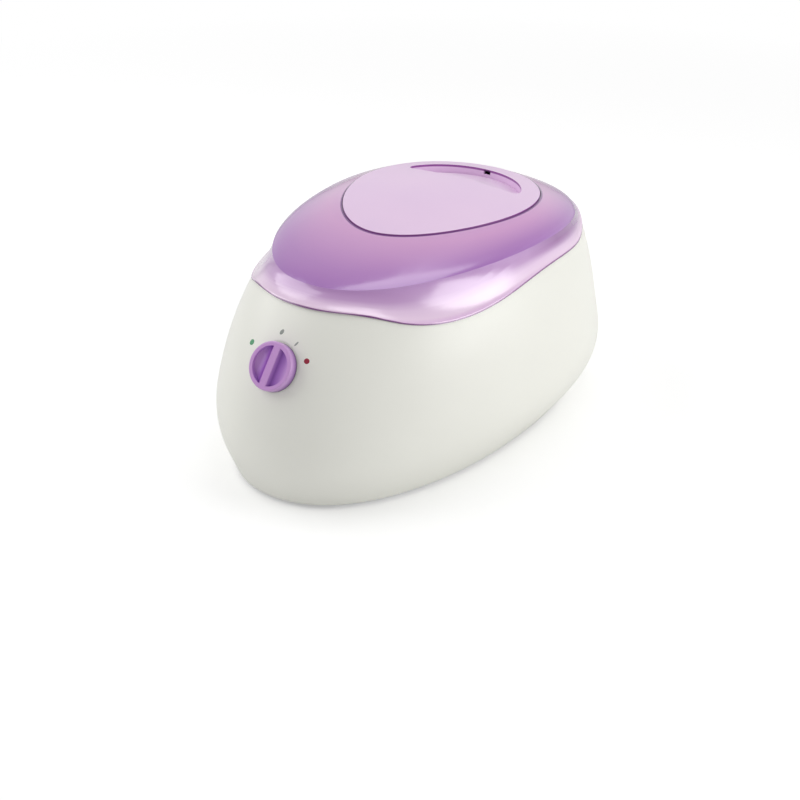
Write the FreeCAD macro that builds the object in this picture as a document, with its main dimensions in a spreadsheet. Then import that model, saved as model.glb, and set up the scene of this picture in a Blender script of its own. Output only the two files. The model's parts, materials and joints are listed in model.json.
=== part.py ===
"""Salon wax bath: egg-shaped moulded housing, heated aluminium basin, lift-off lid and front heat knob.

Millimetres. +Z is up, the front with the knob faces -Y, and the object is symmetric about the YZ plane.
The origin is on the table, under the middle of the housing's length.
"""
import FreeCAD, Part

import math
import os

import Sketcher
from FreeCAD import Placement, Rotation, Vector

doc = FreeCAD.newDocument("wax_bath")

# ---------------------------------------------------------------------------------------------------------
# Driving dimensions. An egg is given by its reach to the front and back, its half width, its squareness
# (2 is an ellipse) and its bias (how much wider the back half is).
# ---------------------------------------------------------------------------------------------------------
SIZES = {
    # housing: three level sections and how the wall curves between them
    "floor_gap": 3.0,
    "foot_front": 180.7, "foot_back": 179.7, "foot_half": 110.3, "foot_square": 2.23, "foot_bias": 0.12,
    "belly_level": 45.6,
    "belly_front": 194.9, "belly_back": 194.9, "belly_half": 133.7, "belly_square": 2.20, "belly_bias": 0.18,
    "shoulder_level": 150.0,
    "shoulder_front": 143.9, "shoulder_back": 186.5, "shoulder_half": 106.1,
    "shoulder_square": 2.28, "shoulder_bias": 0.14,
    "lower_bulge": 1.5, "upper_bulge": 1.81,
    "wall": 3.0, "foot_round": 1.2,
    # parting line between housing and lid, seen from the side: heights at six places along the length
    "tip_at": 142.0, "tip_level": 152.3,
    "bow_at": 108.0, "bow_level": 142.4,
    "dip_at": 55.0, "dip_level": 134.7,
    "hump_at": 55.0, "hump_level": 142.2,
    "saddle_at": 108.0, "saddle_level": 140.0,
    "tail_at": 187.0, "tail_level": 145.6,
    "lid_gap": 0.4, "lid_base_drop": 8.0, "panel_clear": 0.3,
    # deck that carries the basin
    "deck_level": 130.0, "deck_thick": 3.0,
    "lip_front": 133.0, "lip_back": 180.0, "lip_half": 103.0, "lip_square": 2.45, "lip_bias": 0.10,
    "lip_wall": 2.0,
    # basin
    "seal_thick": 1.5, "seal_margin": 3.0,
    "tank_wall": 1.2, "tank_inset": 14.0, "tank_floor_level": 42.0, "tank_taper": 6.0,
    "tank_round": 12.0, "tank_clear": 1.5, "flange_margin": 2.0,
    "stud_across": 40.0, "stud_front": 60.0, "stud_back": 110.0, "stud_radius": 2.0, "stud_long": 12.0,
    "tank_screw_inset": 8.0, "tank_screw_radius": 1.5, "tank_screw_long": 9.0,
    "tank_screw_head": 2.75, "tank_screw_head_thick": 1.8, "boss_wall": 2.0, "boss_depth": 11.0,
    # posts, base plate, feet
    "post_radius": 4.5, "post_front_half": 88.0, "post_front_at": 60.0,
    "post_back_half": 97.0, "post_back_at": 92.0,
    "ledge": 1.4, "base_thick": 2.5, "base_level": 5.0, "base_clear": 0.25,
    "base_screw_radius": 1.9, "base_screw_long": 14.0, "base_screw_head": 3.6, "base_screw_head_thick": 2.2,
    "vent_count": 6.0, "vent_width": 4.0, "vent_long": 60.0, "vent_pitch": 10.0, "vent_offset": 45.0,
    "foot_radius": 10.0, "foot_stem": 3.0, "foot_stem_long": 3.5, "foot_barb": 4.2,
    "foot_front_half": 62.0, "foot_front_at": 112.0, "foot_back_half": 78.0, "foot_back_at": 122.0,
    # heater below the basin
    "heater_thick": 1.5, "heater_inset": 18.0, "bulb_slot_half": 7.0, "bulb_room": 4.0, "tube_room": 34.0,
    "felt_thick": 6.0, "shield_thick": 0.8, "shield_margin": 3.0, "shield_rim": 7.0,
    "nut_across": 7.0, "nut_thick": 3.2, "driver_slot": 0.7,
    # protective grille that lies in the basin
    "grille_gap": 3.0, "grille_thick": 3.0, "grille_leg": 6.0, "grille_leg_radius": 4.0,
    "grille_border": 11.0, "slot_width": 7.0, "slot_pitch": 13.0, "slot_land": 9.0,
    "grille_leg_half": 52.0, "grille_leg_front": 58.0, "grille_leg_back": 92.0,
    # lid
    # (its skirt flares down from the dome's edge to the rim; that edge is an arc when seen from the side)
    "lid_thick": 2.5, "rim_edge": 2.0, "skirt_flare": 1.3,
    "edge_level": 164.8, "edge_at": 73.5, "edge_radius": 2265.0,
    "dome_front": 127.3, "dome_back": 182.0, "dome_half": 103.5, "dome_square": 2.19, "dome_bias": 0.155,
    "dome_rise": 1.5, "dome_run": 1.0,
    # pale panel let into the lid's crown
    "panel_front": 43.4, "panel_back": 153.3, "panel_half": 75.9, "panel_square": 1.95, "panel_bias": 0.105,
    "crown_level": 181.5, "crown_at": 28.8, "crown_radius": 512.0,
    "panel_raise": 1.0, "panel_thick": 2.5, "panel_groove": 0.9, "panel_round": 0.8,
    # finger recess in the panel: a half moon whose floor is part of a large cylinder that dips to the back
    "scoop_at": 74.5, "scoop_radius": 59.0, "scoop_front": 89.0, "scoop_corner": 7.0, "scoop_wall": 2.0,
    "ramp_start": 92.0, "ramp_angle": 19.0, "ramp_radius": 200.0,
    "steam_half": 3.3, "steam_high": 3.6, "steam_cover": 0.8, "steam_long": 7.0,
    # heat knob and thermostat
    "knob_level": 113.0, "knob_seat": 1.0, "knob_seat_radius": 20.5,
    "knob_radius": 19.0, "knob_height": 8.0, "knob_gap": 0.6, "knob_ring": 3.5, "knob_round": 1.2,
    "valley_radius": 9.5, "valley_lift": 5.5, "valley_offset": 10.6, "knob_turn": 6.0,
    "knob_cavity": 9.5, "knob_cavity_depth": 3.0,
    "shaft_radius": 3.0, "shaft_flat": 1.6, "shaft_reach": 6.8, "shaft_depth": 9.0, "shaft_bore_depth": 7.2,
    "shaft_clear": 0.05, "shaft_slack": 0.3,
    "neck_radius": 5.0, "neck_reach": 3.0, "neck_clear": 0.2, "knob_nut_across": 14.0, "knob_nut_thick": 2.2,
    "stat_width": 34.0, "stat_height": 30.0, "stat_depth": 20.0, "stat_round": 2.0,
    "tag_width": 6.3, "tag_thick": 0.8, "tag_long": 9.0, "tag_offset": 9.0,
    # temperature sensor and thermal fuse
    "bulb_radius": 3.0, "bulb_long": 66.0, "bulb_at": 20.0, "tube_radius": 0.8,
    "clip_width": 10.0, "clip_thick": 0.8,
    "fuse_radius": 2.2, "fuse_long": 24.0, "fuse_at": 35.0, "sleeve_radius": 4.0,
    # mains inlet, terminal block and inner leads
    "inlet_level": 29.0, "inlet_face_at": 180.3, "bay_half": 29.0, "bay_high": 15.5, "bay_wall": 2.5,
    "inlet_flange_half": 25.0, "inlet_flange_high": 11.4, "inlet_flange_thick": 3.0,
    "inlet_body_half": 13.8, "inlet_body_high": 9.8, "inlet_body_depth": 20.0,
    "inlet_mouth_half": 12.1, "inlet_mouth_high": 8.1, "inlet_mouth_depth": 17.0, "inlet_chamfer": 4.0,
    "pin_spread": 7.0, "pin_drop": 2.0, "pin_width": 2.0, "pin_high": 4.0, "pin_short": 1.0, "pin_tail": 7.0,
    "inlet_screw_half": 20.0, "inlet_screw_radius": 1.6, "inlet_screw_head": 2.9,
    "inlet_screw_head_thick": 1.6, "inlet_screw_long": 9.0,
    "block_half": 16.0, "block_deep": 9.0, "block_high": 13.0, "block_at": 118.0,
    "block_pitch": 7.0, "block_screw": 2.4,
    "lead_radius": 1.2,
}


def make_sheet():
    sheet = doc.addObject("Spreadsheet::Sheet", "Sizes")
    for row, (alias, value) in enumerate(SIZES.items(), start=1):
        cell = f"B{row}"
        sheet.set(f"A{row}", alias)
        sheet.set(cell, str(value))
        sheet.setAlias(cell, alias)
    doc.recompute()
    return sheet


sheet = make_sheet()


class Size:
    """Reads one driving dimension from the sheet by its alias."""

    def __getattr__(self, alias):
        return float(sheet.get(alias))


s = Size()
SECTION_POINTS = 40
EXTENT = 260.0   # half size of the tool blocks, well past the housing


# ---------------------------------------------------------------------------------------------------------
# Egg outlines and skins
# ---------------------------------------------------------------------------------------------------------
def egg(name, inset=0.0):
    """The five numbers of a named egg, shrunk all round by inset."""
    return (getattr(s, name + "_front") - inset, getattr(s, name + "_back") - inset,
            getattr(s, name + "_half") - inset, getattr(s, name + "_square"), getattr(s, name + "_bias"))


def egg_xy(shape, angle):
    """A point of an egg. Angle 0 is the back end and pi the front end."""
    front, back, half, square, bias = shape
    power = 2.0 / square
    along = math.copysign(abs(math.cos(angle)) ** power, math.cos(angle))
    across = math.copysign(abs(math.sin(angle)) ** power, math.sin(angle))
    return half * across * (1 + bias * along), (back - front) / 2 + (back + front) / 2 * along


def angles():
    return [2 * math.pi * i / SECTION_POINTS for i in range(SECTION_POINTS)]


def closed_curve(points):
    curve = Part.BSplineCurve()
    curve.interpolate(Points=points, PeriodicFlag=True)
    return Part.Wire(curve.toShape())


def egg_wire(shape, level):
    return closed_curve([Vector(*egg_xy(shape, a), level) for a in angles()])


def egg_slab(shape, low, high):
    """A straight-sided block with an egg outline."""
    return Part.Face(egg_wire(shape, low)).extrude(Vector(0, 0, high - low))


def egg_ring(outer, inner, low, high):
    return egg_slab(outer, low, high).cut(egg_slab(inner, low - 1, high + 1))


def loft(wires, ruled=False):
    return Part.makeLoft(wires, True, ruled)


def blend(a, b, share):
    return tuple(u + (v - u) * share for u, v in zip(a, b))


# ---------------------------------------------------------------------------------------------------------
# Housing form and parting line
# ---------------------------------------------------------------------------------------------------------
def housing_section(level, inset=0.0):
    """The housing's egg at a height: full at the belly, drawn in below it and above it."""
    belly = egg("belly", inset)
    if level < s.belly_level:
        share = ((s.belly_level - level) / s.belly_level) ** s.lower_bulge
        return blend(belly, egg("foot", inset), share)
    share = ((level - s.belly_level) / (s.shoulder_level - s.belly_level)) ** s.upper_bulge
    return blend(belly, egg("shoulder", inset), share)


def housing_form(inset, low, high):
    """The solid inside the housing's outer skin, shrunk by inset, between two heights."""
    below = [low, (low + s.belly_level) / 2]
    above = [s.belly_level + (high - s.belly_level) * share for share in (0.25, 0.5, 0.75, 1.0)]
    levels = below + [s.belly_level] + above
    return loft([egg_wire(housing_section(z, inset), z) for z in levels])


def parting_curve(lift):
    """The wavy line where lid and housing meet, seen from the side, moved up by lift."""
    places = [(-s.tip_at, s.tip_level), (-s.bow_at, s.bow_level), (-s.dip_at, s.dip_level),
              (s.hump_at, s.hump_level), (s.saddle_at, s.saddle_level), (s.tail_at, s.tail_level)]
    curve = Part.BSplineCurve()
    curve.interpolate(Points=[Vector(0, y, z + lift) for y, z in places],
                      InitialTangent=Vector(0, 1, 0), FinalTangent=Vector(0, 1, 0))
    return curve


def above_parting(lift):
    """A block holding everything above the parting line."""
    curve = parting_curve(lift)
    front, back = curve.value(curve.FirstParameter), curve.value(curve.LastParameter)
    corners = [Vector(0, EXTENT, back.z), Vector(0, EXTENT, EXTENT), Vector(0, -EXTENT, EXTENT),
               Vector(0, -EXTENT, front.z), front]
    edges = [curve.toShape()]
    start = back
    for corner in corners:
        edges.append(Part.LineSegment(start, corner).toShape())
        start = corner
    outline = Part.Face(Part.Wire(edges))
    outline.translate(Vector(-EXTENT, 0, 0))
    return outline.extrude(Vector(2 * EXTENT, 0, 0))


def parting_level(y):
    """The parting line's height at a place along the length."""
    curve = parting_curve(0.0)
    level = s.shoulder_level
    for _ in range(12):
        level = curve.value(curve.parameter(Vector(0, y, level))).z
    return level


def rim_point(angle, inset, lift):
    """A point of the housing's skin on the parting line, moved in by inset and up by lift."""
    level = s.shoulder_level
    for _ in range(6):
        x, y = egg_xy(housing_section(level), angle)
        level = parting_level(y)
    x, y = egg_xy(housing_section(level, inset), angle)
    return Vector(x, y, level + lift)


# ---------------------------------------------------------------------------------------------------------
# Document objects
# ---------------------------------------------------------------------------------------------------------
def feature(label, shape, placement=None):
    """A sub-part whose shape is worked out from the sheet's values."""
    item = doc.addObject("Part::Feature", label)
    item.Label = label
    item.Shape = shape
    if placement is not None:
        item.Placement = placement
    return item


def bound(kind, name, placement=None, **expressions):
    """A primitive whose properties follow expressions on the sheet."""
    item = doc.addObject(kind, name)
    for prop, expression in expressions.items():
        item.setExpression(prop, expression)
    if placement is not None:
        item.Placement = placement
    return item


def cylinder(name, radius, height, place=Vector(), turn=Rotation()):
    return bound("Part::Cylinder", name, Placement(place, turn), Radius=radius, Height=height)


def box(name, length, width, height, place=Vector(), turn=Rotation()):
    return bound("Part::Box", name, Placement(place, turn), Length=length, Width=width, Height=height)


def fuse(name, *items):
    item = doc.addObject("Part::MultiFuse", name)
    item.Shapes = list(items)
    return item


def common(name, *items):
    item = doc.addObject("Part::MultiCommon", name)
    item.Shapes = list(items)
    return item


def cut(name, base, tool):
    item = doc.addObject("Part::Cut", name)
    item.Base = base
    item.Tool = tool
    return item


def rod(radius, base, direction, length):
    """A plain cylinder for use inside a worked-out shape."""
    return Part.makeCylinder(radius, length, base, direction)


def block(x0, x1, y0, y1, z0, z1):
    return Part.makeBox(x1 - x0, y1 - y0, z1 - z0, Vector(x0, y0, z0))


def join(shapes):
    shapes = list(shapes)
    return shapes[0].fuse(shapes[1:]).removeSplitter() if len(shapes) > 1 else shapes[0]


def origin_plane(body, role):
    return next(item for item in body.Origin.OriginFeatures if item.Role == role)


def body_with_sketch(name, role, segments):
    """A PartDesign body with one closed sketch of straight segments and arcs on an origin plane."""
    body = doc.addObject("PartDesign::Body", name)
    sketch = body.newObject("Sketcher::SketchObject", name + "_sketch")
    sketch.AttachmentSupport = [(origin_plane(body, role), "")]
    sketch.MapMode = "FlatFace"
    for segment in segments:
        sketch.addGeometry(segment, False)
    count = len(segments)
    if count > 1:
        for i in range(count):
            sketch.addConstraint(Sketcher.Constraint("Coincident", i, 2, (i + 1) % count, 1))
    return body, sketch


def polygon(points):
    """Straight sketch segments round a list of (u, v) corners."""
    corners = [Vector(u, v, 0) for u, v in points]
    return [Part.LineSegment(a, b) for a, b in zip(corners, corners[1:] + corners[:1])]


def turned(name, profile, place=Placement()):
    """A turned piece: a body with a half profile of (radius, height) corners revolved about Z."""
    body, sketch = body_with_sketch(name, "XZ_Plane", polygon(profile))
    doc.recompute()
    revolution = body.newObject("PartDesign::Revolution", name + "_turn")
    revolution.Profile = sketch
    revolution.ReferenceAxis = (sketch, ["V_Axis"])
    revolution.Angle = 360.0
    doc.recompute()
    body.Placement = place
    return body


def copies(label, source, places):
    """Several separate solids of one shape, such as a set of screws."""
    solids = []
    for place in places:
        solid = source.Shape.copy()
        solid.Placement = place
        solids.append(solid)
    return feature(label, Part.makeCompound(solids))


UPSIDE_DOWN = Rotation(Vector(1, 0, 0), 180)


# ---------------------------------------------------------------------------------------------------------
# Places that several sub-parts share
# ---------------------------------------------------------------------------------------------------------
def mirrored(half, front_at, half_back, back_at):
    return [(side * h, y) for h, y in ((half, -front_at), (half_back, back_at)) for side in (-1, 1)]


def post_places():
    return mirrored(s.post_front_half, s.post_front_at, s.post_back_half, s.post_back_at)


def foot_places():
    return mirrored(s.foot_front_half, s.foot_front_at, s.foot_back_half, s.foot_back_at)


def stud_places():
    return mirrored(s.stud_across, s.stud_front, s.stud_across, s.stud_back)


def tank_screw_places():
    around = [math.radians(a) for a in (0, 60, 120, 180, 240, 300)]
    return [egg_xy(egg("lip", s.tank_screw_inset), a) for a in around]


def tank_shape(inset=0.0):
    return egg("lip", s.tank_inset + inset)


def seal_level():
    return s.deck_level


def flange_level():
    return s.deck_level + s.seal_thick


def flange_top():
    return flange_level() + s.tank_wall


def base_top():
    return s.base_level + s.base_thick


def knob_frame():
    """Where the knob's axis leaves the housing: local Z points out and local Y points up the slope."""
    step = 1.0
    rise = housing_section(s.knob_level + step)[0] - housing_section(s.knob_level - step)[0]
    lean = math.degrees(math.atan2(-rise, 2 * step))
    turn = Rotation(Vector(1, 0, 0), 90.0 - lean)
    skin = Vector(0, -housing_section(s.knob_level)[0], s.knob_level)
    seat = skin - turn.multVec(Vector(0, 0, s.knob_seat))
    return Placement(seat, turn)


# ---------------------------------------------------------------------------------------------------------
# Outer housing
# ---------------------------------------------------------------------------------------------------------
def rounded_foot(form):
    """Rounds the lower outer edge of the housing form."""
    low = min(form.Edges, key=lambda e: e.BoundBox.ZMax)
    return form.makeFillet(s.foot_round, [low])


def deck():
    """Level shelf inside the housing, open where the basin hangs through."""
    low = s.deck_level - s.deck_thick
    slab = housing_form(s.wall / 2, s.floor_gap, s.shoulder_level)
    slab = slab.common(block(-EXTENT, EXTENT, -EXTENT, EXTENT, low, s.deck_level))
    boss_low = s.deck_level - s.boss_depth
    bosses = [rod(s.tank_screw_radius + s.boss_wall, Vector(x, y, boss_low), Vector(0, 0, 1), s.boss_depth)
              for x, y in tank_screw_places()]
    shelf = slab.fuse(bosses)
    return shelf.cut(egg_slab(tank_shape(-s.tank_clear), low - s.boss_depth, s.deck_level + 1))


def posts():
    low = base_top()
    high = s.deck_level - low
    return [rod(s.post_radius, Vector(x, y, low), Vector(0, 0, 1), high) for x, y in post_places()]


def inlet_bay(grow, reach):
    """The boxed-in bay at the back for the mains inlet."""
    return block(-s.bay_half - grow, s.bay_half + grow, s.inlet_face_at - grow, reach,
                 s.inlet_level - s.bay_high - grow, s.inlet_level + s.bay_high + grow)


def outer_housing():
    top = s.tip_level + 12.0
    outer = rounded_foot(housing_form(0.0, s.floor_gap, top))
    inner = housing_form(s.wall, s.floor_gap, top)
    inner_low = egg_slab(housing_section(s.floor_gap, s.wall), s.floor_gap - 5, s.floor_gap)
    shell = outer.cut(inner).cut(inner_low)
    bay = inlet_bay(s.bay_wall, EXTENT).common(outer)
    frame = knob_frame()
    pad_depth = s.knob_seat + 2 * s.wall
    pad = rod(s.knob_seat_radius, Vector(0, 0, -pad_depth), Vector(0, 0, 1), pad_depth + s.knob_seat)
    pad.Placement = frame
    shell = shell.fuse([deck(), bay, pad.common(outer)] + posts())
    shell = shell.cut(above_parting(0.0))
    recess = egg_slab(housing_section(s.floor_gap, s.wall - s.ledge), s.floor_gap - 5, base_top())
    tools = [recess, inlet_bay(0.0, EXTENT)]
    seat = rod(s.knob_seat_radius, Vector(0, 0, 0), Vector(0, 0, 1), 30.0)
    seat.Placement = frame
    hole = rod(s.neck_radius + s.neck_clear, Vector(0, 0, -30), Vector(0, 0, 1), 60.0)
    hole.Placement = frame
    back = rod(s.knob_seat_radius + 5, Vector(0, 0, -s.wall - 40), Vector(0, 0, 1), 40.0)
    back.Placement = frame
    tools += [seat, hole, back]
    tools += [rod(s.base_screw_radius, Vector(x, y, base_top() - 1), Vector(0, 0, 1),
                  s.base_screw_long + 2) for x, y in post_places()]
    tools += [rod(s.tank_screw_radius, Vector(x, y, s.deck_level + 1), Vector(0, 0, -1),
                  s.tank_screw_long + 2) for x, y in tank_screw_places()]
    tools += [inlet_body_block(0.2, 40.0)]
    tools += [rod(s.inlet_screw_radius, Vector(side * s.inlet_screw_half, s.inlet_face_at + 1,
                  s.inlet_level), Vector(0, -1, 0), s.inlet_screw_long + 2) for side in (-1, 1)]
    return feature("outer_housing", shell.cut(tools))


def inlet_body_block(grow, depth):
    half, high = s.inlet_body_half + grow, s.inlet_body_high + grow
    return block(-half, half, s.inlet_face_at - depth, s.inlet_face_at + 0.5,
                 s.inlet_level - high, s.inlet_level + high)


# ---------------------------------------------------------------------------------------------------------
# Base plate, feet and their screws
# ---------------------------------------------------------------------------------------------------------
def base_plate():
    outline = housing_section(s.floor_gap, s.wall - s.ledge + s.base_clear)
    plate = egg_slab(outline, s.base_level, base_top())
    tools = [rod(s.base_screw_radius + 0.3, Vector(x, y, 0), Vector(0, 0, 1), 20) for x, y in post_places()]
    tools += [rod(s.foot_stem, Vector(x, y, 0), Vector(0, 0, 1), 20) for x, y in foot_places()]
    count = int(s.vent_count)
    for i in range(count):
        y = (i - (count - 1) / 2) * s.vent_pitch
        for side in (-1, 1):
            middle = side * s.vent_offset
            tools.append(block(middle - s.vent_long / 2, middle + s.vent_long / 2,
                               y - s.vent_width / 2, y + s.vent_width / 2, 0, 20))
    return feature("base_plate", plate.cut(tools))


def rubber_feet():
    radius, stem, barb = s.foot_radius, s.foot_stem, s.foot_barb
    plate_top = base_top()
    tip = plate_top + s.foot_stem_long
    foot = turned("foot_form", [(0, 0), (radius - 1, 0), (radius, 1), (radius * 0.9, s.base_level),
                                (stem, s.base_level), (stem, plate_top), (barb, plate_top),
                                (stem * 0.7, tip), (0, tip)])
    return copies("rubber_feet", foot, [Placement(Vector(x, y, 0), Rotation()) for x, y in foot_places()])


def screw_form(kind):
    """A pan-head screw pointing down, its head's seat at the origin, with a straight driver slot."""
    radius, length = (getattr(s, f"{kind}_screw_{name}") for name in ("radius", "long"))
    head, thick = (getattr(s, f"{kind}_screw_{name}") for name in ("head", "head_thick"))
    body = turned(kind + "_screw_form", [(0, -length), (radius * 0.5, -length), (radius, -length + radius),
                                         (radius, 0), (head, 0), (head * 0.95, thick * 0.6),
                                         (head * 0.6, thick), (0, thick)])
    slot = box(kind + "_screw_slot", f"3 * Sizes.{kind}_screw_head", "Sizes.driver_slot", "Sizes.driver_slot",
               Vector(-1.5 * head, -s.driver_slot / 2, thick - s.driver_slot))
    form = cut(kind + "_screw", body, slot)
    doc.recompute()
    return form


def base_screws():
    places = [Placement(Vector(x, y, s.base_level), UPSIDE_DOWN) for x, y in post_places()]
    return copies("base_screws", screw_form("base"), places)


# ---------------------------------------------------------------------------------------------------------
# Basin, its seal and screws
# ---------------------------------------------------------------------------------------------------------
def basin_form(inset, floor, top, rounding):
    """The basin's tapered inside or outside, with its lower edge rounded."""
    depth = flange_level() - s.tank_floor_level
    wires = []
    for level in (floor, top):
        taper = s.tank_taper * (flange_level() - level) / depth
        wires.append(egg_wire(tank_shape(inset + taper), level))
    form = loft(wires, True)
    edge = min(form.Edges, key=lambda e: e.BoundBox.ZMax)
    return form.makeFillet(rounding, [edge])


def studs():
    low = s.tank_floor_level - s.stud_long
    return [rod(s.stud_radius, Vector(x, y, low), Vector(0, 0, 1), s.stud_long + s.tank_wall / 2)
            for x, y in stud_places()]


def wax_tank():
    floor, top = s.tank_floor_level, flange_top()
    outer = basin_form(0.0, floor, top, s.tank_round)
    inner = basin_form(s.tank_wall, floor + s.tank_wall, top + 5.0, s.tank_round - s.tank_wall)
    flange = egg_slab(egg("lip", -s.flange_margin), flange_level(), top)
    holes = [rod(s.tank_screw_radius + 0.2, Vector(x, y, top + 1), Vector(0, 0, -1), 5)
             for x, y in tank_screw_places()]
    plate = flange.cut(holes)
    return feature("wax_tank", outer.fuse([plate] + studs()).cut(inner))


def tank_seal():
    ring = egg_ring(egg("lip", s.seal_margin - s.flange_margin), tank_shape(-s.tank_clear),
                    seal_level(), flange_level())
    holes = [rod(s.tank_screw_radius + 0.2, Vector(x, y, flange_top()), Vector(0, 0, -1), 10)
             for x, y in tank_screw_places()]
    return feature("tank_seal", ring.cut(holes))


def tank_screws():
    places = [Placement(Vector(x, y, flange_top()), Rotation()) for x, y in tank_screw_places()]
    return copies("tank_screws", screw_form("tank"), places)


# ---------------------------------------------------------------------------------------------------------
# Heater stack below the basin
# ---------------------------------------------------------------------------------------------------------
def heater_shape(grow=0.0):
    return tank_shape(s.heater_inset - grow)


def bulb_slot(low, high):
    """The slot in heater and felt that holds the bulb, longer in front where its tube leaves."""
    front = s.bulb_at - s.bulb_long / 2 - s.tube_room
    back = s.bulb_at + s.bulb_long / 2 + s.bulb_room
    return block(-s.bulb_slot_half, s.bulb_slot_half, front, back, low, high)


def lead_hole_places():
    return [(side * 16.0, 66.0) for side in (-1, 1)]


def drilled(places, radius):
    return [rod(radius, Vector(x, y, 0), Vector(0, 0, 1), s.tank_floor_level) for x, y in places]


def heating_mat():
    top = s.tank_floor_level
    low = top - s.heater_thick
    mat = egg_slab(heater_shape(), low, top)
    tools = [bulb_slot(low - 1, top + 1)] + drilled(stud_places(), s.stud_radius + 1)
    return feature("heating_mat", mat.cut(tools))


def felt_pad():
    top = s.tank_floor_level - s.heater_thick
    low = top - s.felt_thick
    pad = egg_slab(heater_shape(), low, top)
    tools = [bulb_slot(low - 1, top + 1)] + drilled(stud_places(), s.stud_radius + 0.5)
    tools += drilled(lead_hole_places(), 2 * s.lead_radius)
    return feature("felt_pad", pad.cut(tools))


def shield_top():
    return s.tank_floor_level - s.heater_thick - s.felt_thick


def heat_shield():
    top = shield_top()
    low = top - s.shield_thick
    dish = egg_slab(heater_shape(s.shield_margin), low, top + s.shield_rim)
    dish = dish.cut(egg_slab(heater_shape(s.shield_margin - s.shield_thick), top, top + s.shield_rim + 1))
    tools = drilled(stud_places(), s.stud_radius + 0.2) + drilled(lead_hole_places(), 2 * s.lead_radius)
    tools.append(block(-3, 3, -56, -34, low - 1, top + 1))
    return feature("heat_shield", dish.cut(tools))


def shield_nuts():
    across, thick = s.nut_across, s.nut_thick
    corner = across / math.sqrt(3)
    hexagon = [(corner * math.cos(math.radians(a)), corner * math.sin(math.radians(a)))
               for a in range(0, 360, 60)]
    body, sketch = body_with_sketch("nut_form", "XY_Plane", polygon(hexagon))
    pad = body.newObject("PartDesign::Pad", "nut_pad")
    pad.Profile = sketch
    pad.setExpression("Length", "Sizes.nut_thick")
    doc.recompute()
    bore = body.newObject("Sketcher::SketchObject", "nut_bore_sketch")
    bore.AttachmentSupport = [(origin_plane(body, "XY_Plane"), "")]
    bore.MapMode = "FlatFace"
    bore.addGeometry(Part.Circle(Vector(0, 0, 0), Vector(0, 0, 1), s.stud_radius), False)
    pocket = body.newObject("PartDesign::Pocket", "nut_bore")
    pocket.Profile = bore
    pocket.Type = 1
    pocket.Midplane = True
    doc.recompute()
    low = shield_top() - s.shield_thick - thick
    return copies("shield_nuts", body, [Placement(Vector(x, y, low), Rotation()) for x, y in stud_places()])


def sensor_bulb():
    place = Vector(0, s.bulb_at - s.bulb_long / 2, s.tank_floor_level - s.bulb_radius)
    turn = Rotation(Vector(1, 0, 0), -90)
    return cylinder("sensor_bulb", "Sizes.bulb_radius", "Sizes.bulb_long", place, turn)


def bulb_clip():
    top = s.tank_floor_level - 2 * s.bulb_radius
    low = shield_top()
    half = s.bulb_slot_half - 1
    y0, y1 = s.bulb_at - s.clip_width / 2, s.bulb_at + s.clip_width / 2
    strip = block(-half, half, y0, y1, top - s.clip_thick, top)
    legs = [block(-half, -half + s.clip_thick, y0, y1, low, top),
            block(half - s.clip_thick, half, y0, y1, low, top)]
    return feature("bulb_clip", join([strip] + legs))


def thermal_fuse():
    top = shield_top() - s.shield_thick
    centre = top - s.sleeve_radius
    fuse_rod = rod(s.fuse_radius, Vector(s.fuse_at, -s.fuse_long / 2, centre), Vector(0, 1, 0), s.fuse_long)
    return feature("thermal_fuse", fuse_rod)


def fuse_clip():
    top = shield_top() - s.shield_thick
    centre = top - s.sleeve_radius
    half = s.clip_width / 2
    ring = rod(s.sleeve_radius - 1.0, Vector(s.fuse_at, -half, centre), Vector(0, 1, 0), 2 * half)
    tab = block(s.fuse_at - 12, s.fuse_at, -half, half, top - s.clip_thick, top)
    stalk = block(s.fuse_at - 1.5, s.fuse_at + 1.5, -half, half, centre, top)
    bore = rod(s.fuse_radius, Vector(s.fuse_at, -EXTENT, centre), Vector(0, 1, 0), 2 * EXTENT)
    return feature("fuse_clip", join([ring, tab, stalk]).cut(bore))


# ---------------------------------------------------------------------------------------------------------
# Protective grille that lies in the basin
# ---------------------------------------------------------------------------------------------------------
def grille_shape(inset=0.0):
    level_inset = s.tank_taper + s.tank_wall + s.grille_gap
    return tank_shape(level_inset + inset)


def protective_grille():
    floor = s.tank_floor_level + s.tank_wall
    low = floor + s.grille_leg
    high = low + s.grille_thick
    plate = egg_slab(grille_shape(), low, high)
    inner = egg_slab(grille_shape(s.grille_border), low - 1, high + 1)
    count = int(s.lip_half / s.slot_pitch) + 1
    land = s.slot_land
    rows = ((-EXTENT, -land * 3.5), (-land * 2.5, land * 6.5), (land * 7.5, EXTENT))
    slots = []
    for i in range(-count, count + 1):
        left, right = i * s.slot_pitch - s.slot_width / 2, i * s.slot_pitch + s.slot_width / 2
        slots += [block(left, right, y0, y1, low - 1, high + 1) for y0, y1 in rows]
    openings = inner.common(Part.makeCompound(slots))
    leg_places = mirrored(s.grille_leg_half, s.grille_leg_front, s.grille_leg_half, s.grille_leg_back)
    legs = [rod(s.grille_leg_radius, Vector(x, y, floor), Vector(0, 0, 1), high - floor)
            for x, y in leg_places]
    return feature("protective_grille", plate.cut(openings).fuse(legs).removeSplitter())


# ---------------------------------------------------------------------------------------------------------
# Lid
# ---------------------------------------------------------------------------------------------------------
def crown_height(x, y, lift=0.0):
    """The height of the lid's crown, a large sphere, at a place on it."""
    radius = s.crown_radius + lift
    return s.crown_level - s.crown_radius + math.sqrt(radius ** 2 - x ** 2 - (y - s.crown_at) ** 2)


def under_crown(lift):
    """Everything below the lid's crown."""
    return Part.makeSphere(s.crown_radius + lift, Vector(0, s.crown_at, s.crown_level - s.crown_radius))


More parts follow.
